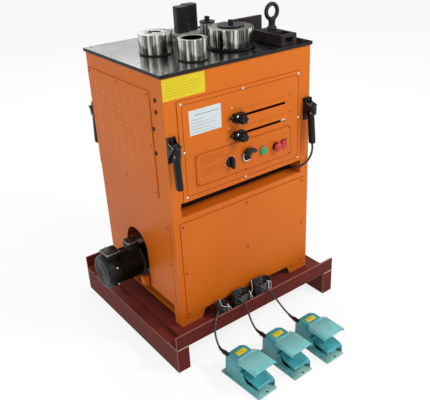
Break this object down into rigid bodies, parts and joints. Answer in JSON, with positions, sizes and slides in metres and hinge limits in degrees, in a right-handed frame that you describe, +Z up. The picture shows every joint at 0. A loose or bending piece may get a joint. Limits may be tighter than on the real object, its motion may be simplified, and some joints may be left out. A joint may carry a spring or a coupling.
{
  "type": "rebar bender cutter",
  "caption": "Floor-standing rebar bender and cutter: sheet cabinet on a welded skid, steel table with rollers, cutting jaws and stop, gear motor and corded foot switches.",
  "frame": {"origin": "on the floor, under the middle of the outline of the whole machine with its motor and foot switches", "axes": "+Z up, +X to the right along the control panel, +Y from the operator to the back of the machine"},
  "size_m": [0.8476, 0.987, 1.1688],
  "materials": {
    "orange_paint": "semi-gloss orange powder coat",
    "red_oxide_paint": "satin dark red primer",
    "black_steel": "satin black oxide",
    "polished_steel": "ground and polished",
    "machined_steel": "machined",
    "cast_iron": "as cast",
    "motor_paint": "gloss dark green",
    "black_plastic": "fine moulded texture",
    "teal_paint": "gloss hammered teal",
    "green_plastic": "gloss",
    "red_plastic": "gloss",
    "cord_rubber": "matt sheath"
  },
  "bodies": {
    "machine": {"skid_runner_left": "red_oxide_paint", "skid_runner_right": "red_oxide_paint", "cross_member_front": "red_oxide_paint", "cross_member_rear": "red_oxide_paint", "skid_deck": "red_oxide_paint", "lower_cabinet": "orange_paint", "upper_cabinet": "orange_paint", "vent_panel": "orange_paint", "lower_front_panel": "orange_paint", "back_panel": "orange_paint", "control_panel": "orange_paint", "switch_plate": "orange_paint", "table_plate": "black_steel", "cutter_frame": "black_steel", "sleeve_post_left": "black_steel", "sleeve_post_front": "black_steel", "fence_bar": "black_steel", "stop_housing": "black_steel", "cutter_drive_case": "cast_iron", "spindle_bearing": "cast_iron", "gearbox_housing": "cast_iron", "gear_motor": "motor_paint", "foot_switch_housing_left": "teal_paint", "foot_switch_housing_middle": "teal_paint", "foot_switch_housing_right": "teal_paint", "side_lead": "cord_rubber", "cord_coil_left": "cord_rubber", "cord_coil_middle": "cord_rubber", "cord_coil_right": "cord_rubber", "cord_drop_left": "cord_rubber", "cord_drop_middle": "cord_rubber", "cord_drop_right": "cord_rubber"},
    "bending_head": {"bending_arm": "black_steel", "bending_gear": "machined_steel", "centre_roller_cap": "black_steel", "bending_roller_cap": "black_steel"},
    "centre_roller": {"centre_roller": "polished_steel"},
    "bending_roller": {"bending_roller": "machined_steel"},
    "drive_pinion": {"drive_pinion": "machined_steel"},
    "sleeve_roller_left": {"sleeve_roller_left": "polished_steel"},
    "sleeve_roller_front": {"sleeve_roller_front": "polished_steel"},
    "cutter_moving_jaw": {"cutter_moving_jaw": "black_steel"},
    "stop_block": {"stop_block": "black_steel"},
    "eye_bolt": {"eye_bolt": "black_steel"},
    "angle_slider_lower": {"angle_slider_lower": "black_plastic"},
    "angle_slider_upper": {"angle_slider_upper": "black_plastic"},
    "angle_knob_lower": {"angle_knob_lower": "black_plastic"},
    "angle_knob_upper": {"angle_knob_upper": "black_plastic"},
    "rotary_knob": {"rotary_knob": "black_plastic"},
    "selector_lever": {"selector_lever": "black_plastic"},
    "start_button": {"start_button": "green_plastic"},
    "stop_button": {"stop_button": "red_plastic"},
    "rocker_switch": {"rocker_switch": "red_plastic"},
    "carry_handle_front_left": {"carry_handle_front_left": "black_steel"},
    "carry_handle_front_right": {"carry_handle_front_right": "black_steel"},
    "carry_handle_back_left": {"carry_handle_back_left": "black_steel"},
    "carry_handle_back_right": {"carry_handle_back_right": "black_steel"},
    "foot_pedal_left": {"foot_pedal_left": "teal_paint"},
    "foot_pedal_middle": {"foot_pedal_middle": "teal_paint"},
    "foot_pedal_right": {"foot_pedal_right": "teal_paint"}
  },
  "joints": [
    {"name": "bending_turn", "type": "hinge", "parent": "machine", "child": "bending_head", "pos_m": [0.10275, 0.0185, 1.0345], "axis": [0, 0, 1], "range_deg": [0, 180]},
    {"name": "centre_roller_spin", "type": "hinge", "parent": "bending_head", "child": "centre_roller", "pos_m": [0.10275, 0.0185, 1.07], "axis": [0, 0, 1], "continuous": true},
    {"name": "bending_roller_spin", "type": "hinge", "parent": "bending_head", "child": "bending_roller", "pos_m": [0.08675, 0.1295, 1.07], "axis": [0, 0, 1], "continuous": true},
    {"name": "drive_pinion_turn", "type": "hinge", "parent": "machine", "child": "drive_pinion", "pos_m": [0.00828, 0.11633, 0.987], "axis": [0, 0, 1], "range_deg": [-620, 30]},
    {"name": "sleeve_left_spin", "type": "hinge", "parent": "machine", "child": "sleeve_roller_left", "pos_m": [-0.12525, 0.1275, 1.07], "axis": [0, 0, 1], "continuous": true},
    {"name": "sleeve_front_spin", "type": "hinge", "parent": "machine", "child": "sleeve_roller_front", "pos_m": [-0.08325, -0.0255, 1.07], "axis": [0, 0, 1], "continuous": true},
    {"name": "cutter_stroke", "type": "slide", "parent": "machine", "child": "cutter_moving_jaw", "axis": [0, 1, 0], "range_m": [0, 0.05]},
    {"name": "stop_block_slide", "type": "slide", "parent": "machine", "child": "stop_block", "axis": [0, 1, 0], "range_m": [-0.037, 0.03]},
    {"name": "eye_bolt_turn", "type": "hinge", "parent": "stop_block", "child": "eye_bolt", "pos_m": [0.24975, -0.0215, 1.074], "axis": [0, 0, 1], "range_deg": [-180, 180]},
    {"name": "angle_slider_lower_slide", "type": "slide", "parent": "machine", "child": "angle_slider_lower", "axis": [1, 0, 0], "range_m": [-0.011, 0.19]},
    {"name": "angle_knob_lower_turn", "type": "hinge", "parent": "angle_slider_lower", "child": "angle_knob_lower", "pos_m": [0.01475, -0.1385, 0.7772], "axis": [0, -1, 0], "range_deg": [-180, 180]},
    {"name": "angle_slider_upper_slide", "type": "slide", "parent": "machine", "child": "angle_slider_upper", "axis": [1, 0, 0], "range_m": [-0.011, 0.19]},
    {"name": "angle_knob_upper_turn", "type": "hinge", "parent": "angle_slider_upper", "child": "angle_knob_upper", "pos_m": [0.01475, -0.1385, 0.8392], "axis": [0, -1, 0], "range_deg": [-180, 180]},
    {"name": "rotary_knob_turn", "type": "hinge", "parent": "machine", "child": "rotary_knob", "pos_m": [-0.02325, -0.1235, 0.6912], "axis": [0, -1, 0], "range_deg": [-60, 60]},
    {"name": "selector_turn", "type": "hinge", "parent": "machine", "child": "selector_lever", "pos_m": [0.04575, -0.1235, 0.6912], "axis": [0, -1, 0], "range_deg": [0, 90]},
    {"name": "start_button_press", "type": "slide", "parent": "machine", "child": "start_button", "axis": [0, 1, 0], "range_m": [0, 0.003], "stiffness_N_per_m": 700, "springref_m": -0.002},
    {"name": "stop_button_press", "type": "slide", "parent": "machine", "child": "stop_button", "axis": [0, 1, 0], "range_m": [0, 0.0045], "stiffness_N_per_m": 700, "springref_m": -0.003},
    {"name": "rocker_tilt", "type": "hinge", "parent": "machine", "child": "rocker_switch", "pos_m": [0.21775, -0.1174, 0.6912], "axis": [1, 0, 0], "range_deg": [-8, 8]},
    {"name": "carry_handle_front_left_swing", "type": "hinge", "parent": "machine", "child": "carry_handle_front_left", "pos_m": [-0.24475, -0.1335, 0.8112], "axis": [-1, 0, 0], "range_deg": [0, 90]},
    {"name": "carry_handle_front_right_swing", "type": "hinge", "parent": "machine", "child": "carry_handle_front_right", "pos_m": [0.33025, -0.1335, 0.8112], "axis": [-1, 0, 0], "range_deg": [0, 90]},
    {"name": "carry_handle_back_left_swing", "type": "hinge", "parent": "machine", "child": "carry_handle_back_left", "pos_m": [-0.24475, 0.3965, 0.8112], "axis": [1, 0, 0], "range_deg": [0, 90]},
    {"name": "carry_handle_back_right_swing", "type": "hinge", "parent": "machine", "child": "carry_handle_back_right", "pos_m": [0.33025, 0.3965, 0.8112], "axis": [1, 0, 0], "range_deg": [0, 90]},
    {"name": "foot_pedal_left_press", "type": "hinge", "parent": "machine", "child": "foot_pedal_left", "pos_m": [-0.17182, -0.38168, 0.055], "axis": [0.9978, 0.0663, 0], "range_deg": [0, 10], "stiffness_Nm_per_rad": 4, "springref_deg": -8.59},
    {"name": "foot_pedal_middle_press", "type": "hinge", "parent": "machine", "child": "foot_pedal_middle", "pos_m": [-0.01645, -0.39353, 0.055], "axis": [0.9997, 0.0262, 0], "range_deg": [0, 10], "stiffness_Nm_per_rad": 4, "springref_deg": -8.59},
    {"name": "foot_pedal_right_press", "type": "hinge", "parent": "machine", "child": "foot_pedal_right", "pos_m": [0.12775, -0.4095, 0.055], "axis": [1, 0, 0], "range_deg": [0, 10], "stiffness_Nm_per_rad": 4, "springref_deg": -8.59}
  ],
  "couplings": [
    {"joint": "drive_pinion_turn", "follows": "bending_turn", "ratio": -3.25}
  ]
}
